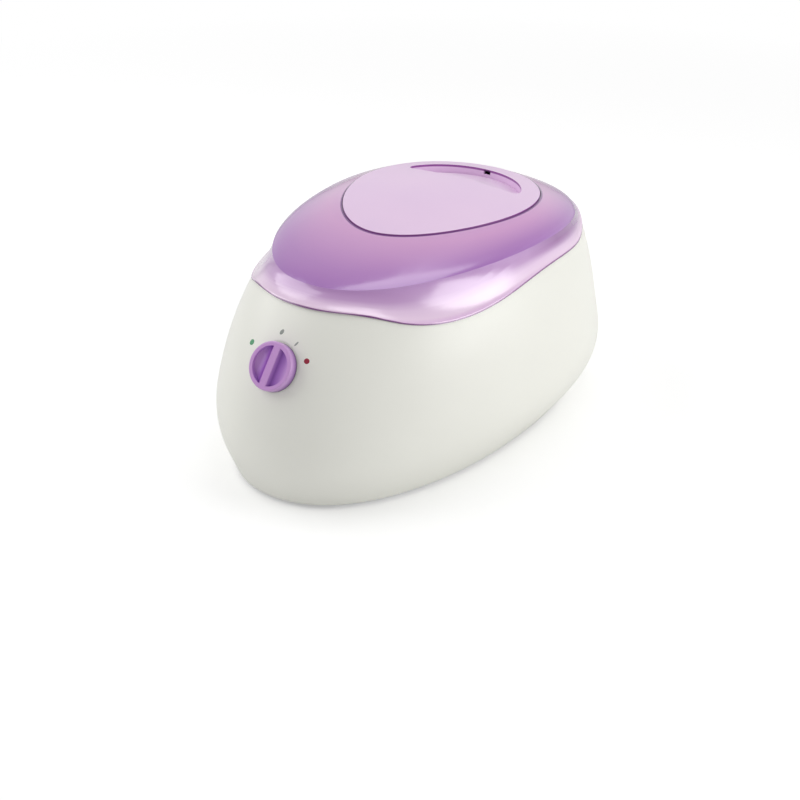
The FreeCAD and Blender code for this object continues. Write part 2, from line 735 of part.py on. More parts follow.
def edge_height(y):
    """The height of the dome's edge, an arc when seen from the side."""
    return s.edge_level - s.edge_radius + math.sqrt(s.edge_radius ** 2 - (y + s.edge_at) ** 2)


def dome_edge(inset, drop):
    outline = [egg_xy(egg("dome", inset), a) for a in angles()]
    return [Vector(x, y, edge_height(y) - drop) for x, y in outline]


def skirt_rings(inset, drop):
    """Rings from the rim up to the dome's edge, along a hollow curve that is level at the rim."""
    rim = [rim_point(a, inset, s.rim_edge - drop) for a in angles()]
    edge = dome_edge(inset, drop)
    rings = []
    for share in (0.0, 0.25, 0.5, 0.75, 1.0):
        inward = 1 - (1 - share) ** s.skirt_flare
        upward = share ** s.skirt_flare
        rings.append([Vector(a.x + (b.x - a.x) * inward, a.y + (b.y - a.y) * inward,
                             a.z + (b.z - a.z) * upward) for a, b in zip(rim, edge)])
    return rings


def dome_rings(inset, drop):
    """Rings from the dome's edge up to the panel's edge, then two that the panel's seat cuts off."""
    outline = egg("panel", inset)
    edge = dome_edge(inset, drop)
    rim = [egg_xy(outline, a) for a in angles()]
    rings = []
    for share in (0.0, 0.17, 0.34, 0.5, 0.67, 0.83, 1.0):
        turn = share * math.pi / 2
        rise = math.sin(turn) ** (2 / s.dome_rise)
        run = 1 - math.cos(turn) ** (2 / s.dome_run)
        rings.append([Vector(a.x + (x - a.x) * run, a.y + (y - a.y) * run,
                             a.z + (crown_height(x, y) - drop - a.z) * rise) for a, (x, y) in zip(edge, rim)])
    middle = (outline[1] - outline[0]) / 2
    near = [(x * 0.8, middle + (y - middle) * 0.8) for x, y in rim]
    rings.append([Vector(x, y, crown_height(x, y) - drop) for x, y in near])
    rings.append([Vector(x * 0.5, middle + (y - middle) * 0.5, s.crown_level - drop) for x, y in rim])
    return rings


def lid_form(inset, drop):
    """The solid inside the lid's skin: straight rim, flared skirt, then the dome."""
    low = s.deck_level - s.lid_base_drop
    base = closed_curve([Vector(*egg_xy(housing_section(low, inset), a), low) for a in angles()])
    skirt = [closed_curve(ring) for ring in skirt_rings(inset, drop)]
    dome = [closed_curve(ring) for ring in dome_rings(inset, drop)]
    skins = [Part.makeLoft([base, skirt[0]], False, True), Part.makeLoft(skirt, False, False),
             Part.makeLoft(dome, False, False)]
    faces = [face for skin in skins for face in skin.Faces]
    faces += [Part.Face(base), Part.Face(dome[-1])]
    shell = Part.makeShell(faces)
    shell.sewShape()
    solid = Part.makeSolid(shell)
    if solid.Volume < 0:
        solid.reverse()
    return solid


def scoop_column(grow):
    """The finger recess seen from above, as an upright column: round back, straight front, round corners."""
    corner = s.scoop_corner + grow
    far = s.scoop_radius + grow
    front = s.scoop_front - grow
    centre_y = s.scoop_front + s.scoop_corner
    reach = s.scoop_radius - s.scoop_corner
    centre_x = math.sqrt(reach ** 2 - (centre_y - s.scoop_at) ** 2)
    out_x, out_y = centre_x / reach, (centre_y - s.scoop_at) / reach
    low = s.deck_level
    slant = math.hypot(out_x, out_y - 1)
    turn_x, turn_y = centre_x + corner * out_x, centre_y + corner * out_y
    mid_x, mid_y = centre_x + corner * out_x / slant, centre_y + corner * (out_y - 1) / slant
    right = [Vector(centre_x, front, low), Vector(mid_x, mid_y, low), Vector(turn_x, turn_y, low)]
    left = [Vector(-v.x, v.y, v.z) for v in right]
    edges = [Part.LineSegment(left[0], right[0]).toShape(), Part.Arc(*right).toShape(),
             Part.Arc(right[2], Vector(0, s.scoop_at + far, low), left[2]).toShape(),
             Part.Arc(left[2], left[1], left[0]).toShape()]
    return Part.Face(Part.Wire(edges)).extrude(Vector(0, 0, s.crown_level + 20 - low))


def above_ramp(grow):
    """A block above the recess's floor, which dips towards the back and falls away to both sides."""
    tilt = math.radians(s.ramp_angle)
    start = Vector(0, s.ramp_start, crown_height(0, s.ramp_start, s.panel_raise))
    along = Vector(0, math.cos(tilt), -math.sin(tilt))
    upright = Vector(0, math.sin(tilt), math.cos(tilt))
    base = start - upright * s.ramp_radius - along * EXTENT
    floor = Part.makeCylinder(s.ramp_radius - grow, 2 * EXTENT, base, along)
    return block(-EXTENT, EXTENT, 0, EXTENT, s.deck_level, EXTENT).cut(floor)


def scoop_void():
    return scoop_column(0.0).common(above_ramp(0.0))


def pocket_form(grow):
    return scoop_column(grow).common(above_ramp(grow)).common(under_crown(0.0))


def steam_hole(grow):
    """The small vent right under the top of the recess's back wall, along the crown's slope there."""
    far = s.scoop_at + s.scoop_radius
    top = crown_height(0, far, s.panel_raise) - s.steam_cover
    slope = math.degrees(math.asin((far - s.crown_at) / s.crown_radius))
    tool = block(-s.steam_half - grow, s.steam_half + grow, far - s.scoop_wall, far + s.steam_long,
                 top - s.steam_high - grow, top)
    tool.rotate(Vector(0, far, top), Vector(1, 0, 0), -slope)
    return tool


def lid_shell():
    thick = s.lid_thick
    outer = lid_form(0.0, 0.0)
    inner = lid_form(thick, thick).common(under_crown(-thick))
    skin = outer.cut(inner)
    skin = skin.common(above_parting(s.lid_gap))
    lip = egg_ring(egg("lip"), egg("lip", s.lip_wall), flange_top(), s.crown_level)
    skin = skin.fuse(lip.common(outer))
    seat = egg_slab(egg("panel", -s.panel_groove), s.deck_level, s.crown_level + 10)
    seat = seat.cut(under_crown(s.panel_raise - s.panel_thick))
    opening = pocket_form(s.scoop_wall + s.panel_clear)
    return feature("lid_shell", skin.cut([seat, opening, steam_hole(s.panel_clear)]))


def lid_panel():
    low, high = s.panel_raise - s.panel_thick, s.panel_raise
    slab = egg_slab(egg("panel"), s.deck_level, s.crown_level + 10)
    slab = slab.common(under_crown(high)).cut(under_crown(low))
    longest = max(edge.Length for edge in slab.Edges)
    outlines = [edge for edge in slab.Edges if edge.Length > 0.9 * longest]
    top_edge = max(outlines, key=lambda e: e.CenterOfMass.z)
    slab = slab.makeFillet(s.panel_round, [top_edge])
    pocket = pocket_form(s.scoop_wall)
    return feature("lid_panel", slab.fuse(pocket).cut([scoop_void(), steam_hole(0.0)]))


# ---------------------------------------------------------------------------------------------------------
# Heat knob and thermostat, built on the knob's axis and then placed
# ---------------------------------------------------------------------------------------------------------
def knob_place():
    """The knob's and shaft's place: turned about the knob's axis to where the knob points."""
    return knob_frame().multiply(Placement(Vector(), Rotation(Vector(0, 0, 1), -s.knob_turn)))


def control_knob():
    radius = s.knob_radius
    low, top = s.knob_gap, s.knob_gap + s.knob_height
    bevel = s.knob_round
    roof = low + s.knob_cavity_depth
    blank = turned("knob_blank", [(0, roof), (s.knob_cavity, roof), (s.knob_cavity, low), (radius, low),
                                  (radius, top - bevel), (radius - bevel * 0.3, top - bevel * 0.3),
                                  (radius - bevel, top), (0, top)])
    hollows = []
    for name, side in (("left", -1), ("right", 1)):
        valley = cylinder(name + "_valley", "Sizes.valley_radius", "4 * Sizes.knob_radius",
                          Vector(side * s.valley_offset, 2 * radius, top + s.valley_lift),
                          Rotation(Vector(1, 0, 0), 90))
        dish = cylinder(name + "_dish", "Sizes.knob_radius - Sizes.knob_ring", "2 * Sizes.knob_height",
                        Vector(0, 0, low))
        hollows.append(common(name + "_hollow", valley, dish))
    bore = cylinder("knob_bore_round", "Sizes.shaft_radius + Sizes.shaft_clear",
                    "Sizes.shaft_bore_depth - Sizes.knob_gap", Vector(0, 0, low))
    flat = box("knob_bore_flat", "4 * Sizes.shaft_radius", "Sizes.shaft_radius", "Sizes.knob_height",
               Vector(-2 * s.shaft_radius, s.shaft_flat + s.shaft_clear, low))
    item = cut("control_knob", blank, fuse("knob_tools", cut("knob_bore", bore, flat), *hollows))
    item.Placement = knob_place()
    return item


def thermostat_shaft():
    low = -s.shaft_depth - s.wall
    shaft = cylinder("shaft_rod", "Sizes.shaft_radius", "Sizes.shaft_depth + Sizes.wall + Sizes.shaft_reach",
                     Vector(0, 0, low))
    flat = box("shaft_flat_tool", "4 * Sizes.shaft_radius", "2 * Sizes.shaft_radius", "Sizes.knob_height",
               Vector(-2 * s.shaft_radius, s.shaft_flat, s.neck_reach + s.shaft_slack))
    item = cut("thermostat_shaft", shaft, flat)
    item.Placement = knob_place()
    return item


def thermostat_body():
    front = -s.wall
    depth = s.stat_depth
    half_w, half_h = s.stat_width / 2, s.stat_height / 2
    case = block(-half_w, half_w, -half_h, half_h, front - depth, front)
    upright = [e for e in case.Edges if abs(e.Vertexes[0].X - e.Vertexes[1].X) < 1e-6
               and abs(e.Vertexes[0].Y - e.Vertexes[1].Y) < 1e-6]
    case = case.makeFillet(s.stat_round, upright)
    neck = rod(s.neck_radius, Vector(0, 0, front), Vector(0, 0, 1), s.wall + s.neck_reach)
    bore = rod(s.shaft_radius + s.shaft_clear, Vector(0, 0, front - 2), Vector(0, 0, 1), 30)
    room = rod(s.shaft_radius + 1.0, Vector(0, 0, front - s.shaft_depth - s.shaft_slack), Vector(0, 0, 1),
               s.shaft_depth + s.shaft_slack - 1.5)
    return feature("thermostat_body", join([case, neck]).cut([bore, room]), knob_frame())


def thermostat_tags():
    low = -s.wall - s.stat_depth - s.tag_long
    tags = [block(side * s.tag_offset - s.tag_width / 2, side * s.tag_offset + s.tag_width / 2,
                  -s.tag_thick / 2, s.tag_thick / 2, low, low + s.tag_long) for side in (-1, 1)]
    return feature("thermostat_tags", Part.makeCompound(tags), knob_frame())


def thermostat_nut():
    corner = s.knob_nut_across / math.sqrt(3)
    hexagon = [Vector(corner * math.cos(math.radians(a)), corner * math.sin(math.radians(a)), 0)
               for a in range(0, 361, 60)]
    nut = Part.Face(Part.makePolygon(hexagon)).extrude(Vector(0, 0, s.knob_nut_thick))
    return feature("thermostat_nut", nut.cut(rod(s.neck_radius, Vector(0, 0, -1), Vector(0, 0, 1), 20)),
                   knob_frame())


# ---------------------------------------------------------------------------------------------------------
# Mains inlet, terminal block and inner leads
# ---------------------------------------------------------------------------------------------------------
def keyed_block(half, high, y0, y1, chamfer):
    """A block along Y whose two upper edges are chamfered, as the inlet's mouth is."""
    z0, z1 = s.inlet_level - high, s.inlet_level + high
    corners = [(-half, z0), (half, z0), (half, z1 - chamfer), (half - chamfer, z1), (-half + chamfer, z1),
               (-half, z1 - chamfer)]
    points = [Vector(x, y0, z) for x, z in corners]
    return Part.Face(Part.makePolygon(points + points[:1])).extrude(Vector(0, y1 - y0, 0))


def power_inlet():
    face = s.inlet_face_at
    flange = block(-s.inlet_flange_half, s.inlet_flange_half, face, face + s.inlet_flange_thick,
                   s.inlet_level - s.inlet_flange_high, s.inlet_level + s.inlet_flange_high)
    upright = [e for e in flange.Edges if abs(e.Vertexes[0].X - e.Vertexes[1].X) < 1e-6
               and abs(e.Vertexes[0].Z - e.Vertexes[1].Z) < 1e-6]
    flange = flange.makeFillet(4.0, upright)
    case = block(-s.inlet_body_half, s.inlet_body_half, face - s.inlet_body_depth, face,
                 s.inlet_level - s.inlet_body_high, s.inlet_level + s.inlet_body_high)
    front = face + s.inlet_flange_thick
    mouth = keyed_block(s.inlet_mouth_half, s.inlet_mouth_high, front - s.inlet_mouth_depth, front + 1,
                        s.inlet_chamfer)
    holes = [rod(s.inlet_screw_radius + 0.2, Vector(side * s.inlet_screw_half, front + 1, s.inlet_level),
                 Vector(0, -1, 0), 10) for side in (-1, 1)]
    pins = pin_blocks()
    return feature("power_inlet", join([flange, case]).cut([mouth] + holes + pins))


def pin_blocks():
    face = s.inlet_face_at + s.inlet_flange_thick
    y0 = s.inlet_face_at - s.inlet_body_depth - s.pin_tail
    y1 = face - s.pin_short
    places = [(-s.pin_spread, -s.pin_drop), (s.pin_spread, -s.pin_drop), (0.0, s.pin_drop)]
    return [block(x - s.pin_width / 2, x + s.pin_width / 2, y0, y1,
                  s.inlet_level + z - s.pin_high / 2, s.inlet_level + z + s.pin_high / 2) for x, z in places]


def inlet_pins():
    return feature("inlet_pins", Part.makeCompound(pin_blocks()))


def inlet_screws():
    face = s.inlet_face_at + s.inlet_flange_thick
    outward = Rotation(Vector(1, 0, 0), -90)
    places = [Placement(Vector(side * s.inlet_screw_half, face, s.inlet_level), outward) for side in (-1, 1)]
    return copies("inlet_screws", screw_form("inlet"), places)


def pole_places():
    return [i * s.block_pitch for i in (-2, -1, 0, 1, 2)]


def terminal_block():
    low = base_top()
    case = block(-s.block_half - 2, s.block_half + 2, s.block_at - s.block_deep, s.block_at + s.block_deep,
                 low, low + s.block_high)
    bores = [rod(s.lead_radius, Vector(x, s.block_at - s.block_deep - 1, lead_level()), Vector(0, 1, 0),
                 2 * s.block_deep + 2) for x in pole_places()]
    wells = [rod(s.block_screw, Vector(x, s.block_at, low + s.block_high + 1), Vector(0, 0, -1), 4)
             for x in pole_places()]
    return feature("terminal_block", case.cut(bores + wells))


def block_screws():
    top = base_top() + s.block_high - 1
    screws = [rod(s.block_screw - 0.3, Vector(x, s.block_at, top - 2), Vector(0, 0, 1), 1.6)
              for x in pole_places()]
    return feature("block_screws", Part.makeCompound(screws))


def lead_level():
    return base_top() + s.block_high / 2


def routed(points, radius):
    """A tube along straight runs joined by tangent arcs."""
    corners = [Vector(*p) for p in points]
    edges = []
    start = corners[0]
    for before, here, after in zip(corners, corners[1:], corners[2:]):
        to_before, to_after = before - here, after - here
        back, ahead = to_before.Length, to_after.Length
        to_before.normalize()
        to_after.normalize()
        half_turn = (math.pi - to_before.getAngle(to_after)) / 2
        reach = 0.45 * min(back, ahead)
        bend = reach / math.tan(half_turn)
        first, last = here + to_before * reach, here + to_after * reach
        middle_way = (to_before + to_after).normalize()
        apex = here + middle_way * (bend / math.cos(half_turn) - bend)
        edges.append(Part.LineSegment(start, first).toShape())
        edges.append(Part.Arc(first, apex, last).toShape())
        start = last
    edges.append(Part.LineSegment(start, corners[-1]).toShape())
    path = Part.Wire(edges)
    direction = (corners[1] - corners[0]).normalize()
    section = Part.Wire(Part.makeCircle(radius, corners[0], direction))
    return path.makePipeShell([section], True, False)


def capillary_tube():
    frame = knob_frame()
    start = frame.multVec(Vector(0, -s.stat_height / 2, -s.wall - s.stat_depth * 0.6))
    away = frame.multVec(Vector(0, -s.stat_height / 2 - 12, -s.wall - s.stat_depth * 0.6))
    level = s.tank_floor_level - s.bulb_radius
    low = shield_top() - s.shield_thick
    end = Vector(0, s.bulb_at - s.bulb_long / 2, level)
    return feature("capillary_tube", routed([tuple(start), tuple(away),
                                             (0, start.y + 2, start.z - 36), (0, start.y + 28, low - 6),
                                             (0, -92, low - 11), (0, -58, low - 8), (0, -36, level),
                                             tuple(end)], s.tube_radius))


def inlet_leads():
    back = s.inlet_face_at - s.inlet_body_depth - s.pin_tail
    leads = []
    ways = ((-s.pin_spread, -s.pin_drop, -1), (s.pin_spread, -s.pin_drop, 1), (0.0, s.pin_drop, 0))
    for x, drop, pole in ways:
        entry = pole * s.block_pitch
        high = s.inlet_level + drop
        leads.append(routed([(x, back, high), (x, back - 7, high), (entry, back - 17, lead_level() + 1),
                             (entry, s.block_at + s.block_deep, lead_level())], s.lead_radius))
    return feature("inlet_leads", Part.makeCompound(leads))


def thermostat_leads():
    frame = knob_frame()
    front = s.block_at - s.block_deep
    leads = []
    for side in (-1, 1):
        tag = frame.multVec(Vector(side * s.tag_offset, 0, -s.wall - s.stat_depth - s.tag_long))
        away = frame.multVec(Vector(side * s.tag_offset, 0, -s.wall - s.stat_depth - s.tag_long - 8))
        pole = side * 2 * s.block_pitch
        leads.append(routed([tuple(tag), tuple(away), (side * 12, away.y + 2, away.z - 30),
                             (side * 16, away.y + 16, 34), (side * 24, -84, 17), (side * 24, -20, 13),
                             (side * 24, 50, 13), (pole, front - 24, lead_level()),
                             (pole, front, lead_level())], s.lead_radius))
    return feature("thermostat_leads", Part.makeCompound(leads))


def heater_leads():
    front = s.block_at - s.block_deep
    top = s.tank_floor_level - s.heater_thick
    leads = []
    for (x, y), side in zip(lead_hole_places(), (-1, 1)):
        pole = side * s.block_pitch
        leads.append(routed([(x, y, top), (x, y, top - 16), (side * 10, y + 16, lead_level() + 3),
                             (pole, front, lead_level())], s.lead_radius))
    return feature("heater_leads", Part.makeCompound(leads))


# ---------------------------------------------------------------------------------------------------------
# Build, check and write
# ---------------------------------------------------------------------------------------------------------
SUB_PARTS = (
    outer_housing, base_plate, rubber_feet, base_screws,
    wax_tank, tank_seal, tank_screws, heating_mat, felt_pad, heat_shield, shield_nuts,
    sensor_bulb, bulb_clip, capillary_tube, thermal_fuse, fuse_clip, protective_grille,
    lid_shell, lid_panel,
    control_knob, thermostat_shaft, thermostat_body, thermostat_tags, thermostat_nut,
    power_inlet, inlet_pins, inlet_screws, terminal_block, block_screws,
    inlet_leads, thermostat_leads, heater_leads,
)


def check(item):
    if {"Invalid", "Error"} & set(item.State):
        raise RuntimeError(f"{item.Label} failed: {item.State}")


def main():
    items = [make() for make in SUB_PARTS]
    doc.recompute()
    for item in doc.Objects:
        check(item)
    os.makedirs("parts", exist_ok=True)
    for item in items:
        shape = item.Shape
        if shape.isNull() or not shape.isValid():
            raise RuntimeError(f"{item.Label} has no valid shape")
        shape.exportStep(f"parts/{item.Label}.step")
        print(f"{item.Label}: {len(shape.Solids)} solids, {shape.Volume / 1000:.2f} cm3")


main()
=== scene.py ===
import json
import math

import bmesh
import bpy
from mathutils import Matrix, Vector
from mathutils.bvhtree import BVHTree


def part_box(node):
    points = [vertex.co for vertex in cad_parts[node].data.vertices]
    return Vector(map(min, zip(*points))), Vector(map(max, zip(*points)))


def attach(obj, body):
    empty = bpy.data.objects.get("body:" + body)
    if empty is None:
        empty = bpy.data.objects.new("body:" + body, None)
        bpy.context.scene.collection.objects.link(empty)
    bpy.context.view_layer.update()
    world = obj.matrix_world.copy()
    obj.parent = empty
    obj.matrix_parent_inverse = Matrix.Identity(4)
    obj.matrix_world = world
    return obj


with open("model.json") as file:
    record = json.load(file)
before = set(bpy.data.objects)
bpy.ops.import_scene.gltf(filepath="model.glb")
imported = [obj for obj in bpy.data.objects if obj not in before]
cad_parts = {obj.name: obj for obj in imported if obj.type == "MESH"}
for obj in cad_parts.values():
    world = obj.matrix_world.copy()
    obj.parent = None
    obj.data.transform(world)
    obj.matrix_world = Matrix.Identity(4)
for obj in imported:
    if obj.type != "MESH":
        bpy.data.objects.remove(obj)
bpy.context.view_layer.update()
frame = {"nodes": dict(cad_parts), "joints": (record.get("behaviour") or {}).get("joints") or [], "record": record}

# Lengths are in metres, angles in degrees and lamp powers in watts, unless a line says otherwise.

# --------------------------------------------------------------------------------------------------------
# Camera
# --------------------------------------------------------------------------------------------------------
CAMERA_TARGET = Vector((0.0, -0.00774, 0.100))
CAMERA_AZIMUTH = 33.86
CAMERA_ELEVATION = 26.06
CAMERA_DISTANCE = 1.2984
CAMERA_LENS = 70.3      # millimetres
AIM_DOWN = 3.56         # the object sits above the middle of the frame
AIM_LEFT = -0.11


def direction(azimuth, elevation):
    """Unit vector from the object towards a viewer: azimuth 0 is the front and 90 the right side."""
    a, e = math.radians(azimuth), math.radians(elevation)
    return Vector((math.sin(a) * math.cos(e), -math.cos(a) * math.cos(e), math.sin(e)))


def make_camera():
    data = bpy.data.cameras.new("camera")
    data.lens = CAMERA_LENS
    camera = bpy.data.objects.new("camera", data)
    bpy.context.scene.collection.objects.link(camera)
    back = direction(CAMERA_AZIMUTH, CAMERA_ELEVATION)
    camera.location = CAMERA_TARGET + back * CAMERA_DISTANCE
    look = (-back).to_track_quat("-Z", "Y").to_matrix()
    tilt = Matrix.Rotation(math.radians(-AIM_DOWN), 3, "X") @ Matrix.Rotation(math.radians(AIM_LEFT), 3, "Y")
    camera.rotation_euler = (look @ tilt).to_euler()
    bpy.context.scene.camera = camera


# --------------------------------------------------------------------------------------------------------
# Colours and nodes
# --------------------------------------------------------------------------------------------------------
MIX_SHARE, MIX_FIRST, MIX_SECOND, MIX_RESULT = 0, 6, 7, 2      # the mix node's sockets for colours
NOISE_LOW, NOISE_HIGH = 0.3, 0.7                               # most of a noise lies between these


def linear(red, green, blue):
    """A display colour, 0 to 255, as the linear colour that shaders take."""
    values = []
    for value in (red, green, blue):
        share = value / 255
        values.append(share / 12.92 if share <= 0.04045 else ((share + 0.055) / 1.055) ** 2.4)
    return (*values, 1.0)


def grey(value):
    """A linear grey, from 0 to 1."""
    return (value, value, value, 1.0)


class Nodes:
    """A node tree, built by calls that take plain values or other nodes' outputs."""

    def __init__(self, tree):
        self.tree = tree
        self.tree.nodes.clear()

    def feed(self, value, socket):
        """Links a node's output to a socket, or gives the socket a plain value."""
        if isinstance(value, bpy.types.NodeSocket):
            self.tree.links.new(value, socket)
        else:
            socket.default_value = value

    def add(self, kind, *values, settings=None, **inputs):
        """A new node. Values go to its sockets in turn and inputs by name, with _ for a space."""
        node = self.tree.nodes.new("ShaderNode" + kind)
        for key, value in (settings or {}).items():
            setattr(node, key, value)
        for value, socket in zip(values, node.inputs):
            self.feed(value, socket)
        for key, value in inputs.items():
            self.feed(value, node.inputs[key.replace("_", " ")])
        return node

    def place(self):
        """The place on the object, as a vector."""
        return self.add("TexCoord").outputs["Object"]

    def axes(self, vector):
        """A vector's x, y and z."""
        node = self.add("SeparateXYZ", vector)
        return [node.outputs[axis] for axis in "XYZ"]

    def noise(self, scale, detail=2.0, roughness=0.5, place=None):
        place = self.place() if place is None else place
        node = self.add("TexNoise", Vector=place, Scale=scale, Detail=detail, Roughness=roughness)
        return node.outputs["Fac"]

    def math(self, operation, *values, clamp=False):
        node = self.add("Math", *values, settings={"operation": operation, "use_clamp": clamp})
        return node.outputs["Value"]

    def vector_math(self, operation, *values, output="Vector"):
        """Maths on vectors. Its output is Value where it gives a number, such as a length."""
        return self.add("VectorMath", *values, settings={"operation": operation}).outputs[output]

    def fade(self, value, start, end):
        """0 before the start, 1 past the end and even in between. The end may lie below the start."""
        slope = 1 / (end - start)
        return self.math("MULTIPLY_ADD", value, slope, -start * slope, clamp=True)

    def spread(self, value, low, high, to_low, to_high):
        """A value's range from low to high, stretched to another range and kept within it."""
        node = self.add("MapRange", Value=value, From_Min=low, From_Max=high, To_Min=to_low, To_Max=to_high)
        return node.outputs["Result"]

    def ramp(self, value, stops):
        """A colour that follows a value through the stops, each a place from 0 to 1 and its colour."""
        node = self.add("ValToRGB", value)
        elements = node.color_ramp.elements
        while len(elements) < len(stops):
            elements.new(0.5)
        for element, (position, colour) in zip(elements, stops):
            element.position = position
            element.color = colour
        return node.outputs["Color"]

    def mix(self, share, first, second):
        """The first colour where share is 0 and the second where it is 1."""
        node = self.add("Mix", settings={"data_type": "RGBA"})
        for value, socket in ((share, MIX_SHARE), (first, MIX_FIRST), (second, MIX_SECOND)):
            self.feed(value, node.inputs[socket])
        return node.outputs[MIX_RESULT]


class Shader(Nodes):
    """A material with one principled surface."""

    def __init__(self, name):
        self.material = bpy.data.materials.new(name)
        self.material.use_nodes = True
        super().__init__(self.material.node_tree)
        self.surface = self.add("BsdfPrincipled")
        self.output = self.add("OutputMaterial", Surface=self.surface.outputs["BSDF"])

    def set(self, **inputs):
        """Feeds the surface's sockets, named with _ for a space."""
        for key, value in inputs.items():
            self.feed(value, self.surface.inputs[key.replace("_", " ")])

    def gloss(self, scale, detail, low, high):
        """A roughness that wanders between two values."""
        self.set(Roughness=self.spread(self.noise(scale, detail), NOISE_LOW, NOISE_HIGH, low, high))

    def bump(self, height, depth, strength=0.3):
        """A fine relief as deep as depth where height goes from 0 to 1."""
        node = self.add("Bump", Height=height, Distance=depth, Strength=strength)
        self.set(Normal=node.outputs["Normal"])


# --------------------------------------------------------------------------------------------------------
# Plain finishes. Every one takes a colour and a darker one that it drifts to.
# --------------------------------------------------------------------------------------------------------
CLOUD_LOW, CLOUD_HIGH = 0.35, 0.65      # the part of a noise over which moulded plastic changes its tint
MOULDED_GLOSS = (0.92, 1.15)            # the roughness wanders between these shares of its stated value
METAL_GLOSS = (0.95, 1.15)
SKIN_DEPTH = 0.000006
METAL_DEPTH = 0.000004
FELT_DEPTH = 0.0004

# A coarser skin, and two kinds of lines in metal: upright ones and ones across the object
COARSE = {"grain": 500.0, "depth": 0.0001}
DRAWN = {"stretch": (1.0, 1.0, 0.03), "scale": 260.0}
BRUSHED = {"stretch": (0.04, 1.0, 1.0), "scale": 400.0}


def moulded(name, colour, darker, roughness, grain=110.0, depth=SKIN_DEPTH):
    """Injection-moulded plastic or rubber: even colour with faint clouding, and a fine skin texture."""
    shader = Shader(name)
    cloud = shader.noise(scale=9.0)
    shader.set(Base_Color=shader.ramp(cloud, ((CLOUD_LOW, darker), (CLOUD_HIGH, colour))))
    low, high = (roughness * share for share in MOULDED_GLOSS)
    shader.gloss(scale=40.0, detail=2.0, low=low, high=high)
    shader.bump(shader.noise(grain, detail=0.0), depth, strength=0.35)
    return shader.material


def metal(name, colour, darker, roughness, stretch=(1.0, 1.0, 1.0), scale=300.0):
    """Bare metal with fine drawn or brushed lines, along the axis with the smallest stretch."""
    shader = Shader(name)
    place = shader.add("Mapping", Vector=shader.place(), Scale=stretch).outputs["Vector"]
    lines = shader.noise(scale, detail=4.0, place=place)
    low, high = (roughness * share for share in METAL_GLOSS)
    shader.set(Base_Color=shader.ramp(lines, ((NOISE_LOW, darker), (NOISE_HIGH, colour))),
               Roughness=shader.spread(lines, NOISE_LOW, NOISE_HIGH, low, high), Metallic=1.0)
    shader.bump(lines, METAL_DEPTH)
    return shader.material


def fibres(name, colour, darker):
    """Needled felt: short tangled fibres."""
    shader = Shader(name)
    fuzz = shader.noise(scale=700.0, detail=6.0, roughness=0.7)
    shader.set(Base_Color=shader.ramp(fuzz, ((NOISE_LOW, darker), (NOISE_HIGH, colour))), Roughness=0.95)
    shader.bump(fuzz, FELT_DEPTH, strength=0.8)
    return shader.material


# --------------------------------------------------------------------------------------------------------
# Lid plastic
# --------------------------------------------------------------------------------------------------------
RIM_FIRST, RIM_LAST = -0.1415, 0.1865      # just inside the rim's front tip and its tail
RIM_LOW, RIM_HIGH = 0.130, 0.155           # the rim's wave stays between these heights
RIM_STEPS = 26
RIM_EXACT = 0.000001
BESIDE = Vector((0.3, 0.0, 0.0))           # outside the object's right flank

# Seen from the side the dome's edge is a flat arc, so it falls with the square of the distance.
DOME_EDGE_TOP = 0.1648
DOME_EDGE_AT = -0.0735
DOME_EDGE_RADIUS = 2.265
DOME_EDGE_BLUR = 0.0002

# The panel's outline is an egg, wider towards the tail.
PANEL_HALF_WIDTH = 0.0759
PANEL_SQUARE = 1.95
PANEL_BIAS = 0.105

# Painted reflection and shade as tints, from the housing's edge up to the dome's edge, and from there up to the
# panel
# The skirt: pale low down as a painted reflection, deeper towards the dome's edge as painted shade.
SKIRT_REFLECTION_AND_SHADE = ((0.0, linear(226, 176, 228)), (0.16, linear(242, 214, 240)), (0.36, linear(235, 205, 236)),
               (0.62, linear(200, 158, 208)), (0.97, linear(186, 138, 198)))
# The dome: deep by its edge as painted shade, paler higher up as a painted reflection.
DOME_SHADE_AND_REFLECTION = ((0.0, linear(168, 114, 190)), (0.3, linear(184, 128, 198)), (0.7, linear(218, 162, 214)),
              (1.0, linear(224, 174, 223)))
DOME_SHADE_RISE = 0.016

# Painted shade as deeper tints: on the skirt by the tail, a painted shadow in a line along the rim, and a painted
# shadow in the groove round the panel.
# Each pair is where the tint starts or ends, and where it is full.
# Painted shade: a deeper band on the upper skirt towards the tail, below the dome's edge.
TAIL_SHADE = linear(150, 92, 160)
TAIL_ALONG = (0.0227, 0.0682)
TAIL_SHARES = (0.4, 0.733)                 # of the skirt's height
# Painted shadow: a dark line just above the housing's edge, where the gap between lid and housing falls into
# shade.
RIM_GAP_SHADOW = linear(116, 52, 124)
LIP_HEIGHTS = (0.001667, 0.001)            # above the housing's edge
# Painted shadow: dark in the groove and on the dome just outside the raised panel.
GROOVE_SHADOW = linear(120, 62, 138)
GROOVE_REACH = (1.0291, 1.02)              # shares of the panel's outline


def skin_of(node):
    """A CAD node's surface, for rays to meet."""
    return BVHTree.FromObject(frame["nodes"][node], bpy.context.evaluated_depsgraph_get())


def rim_level(skin, along):
    """The height of the housing's top edge, which the lid's rim follows, at a place along its length."""
    low, high = RIM_LOW, RIM_HIGH
    while high - low > RIM_EXACT:
        middle = (low + high) / 2
        start = BESIDE + Vector((0.0, along, middle))
        if skin.ray_cast(start, -BESIDE.normalized())[0] is None:
            high = middle
        else:
            low = middle
    return low


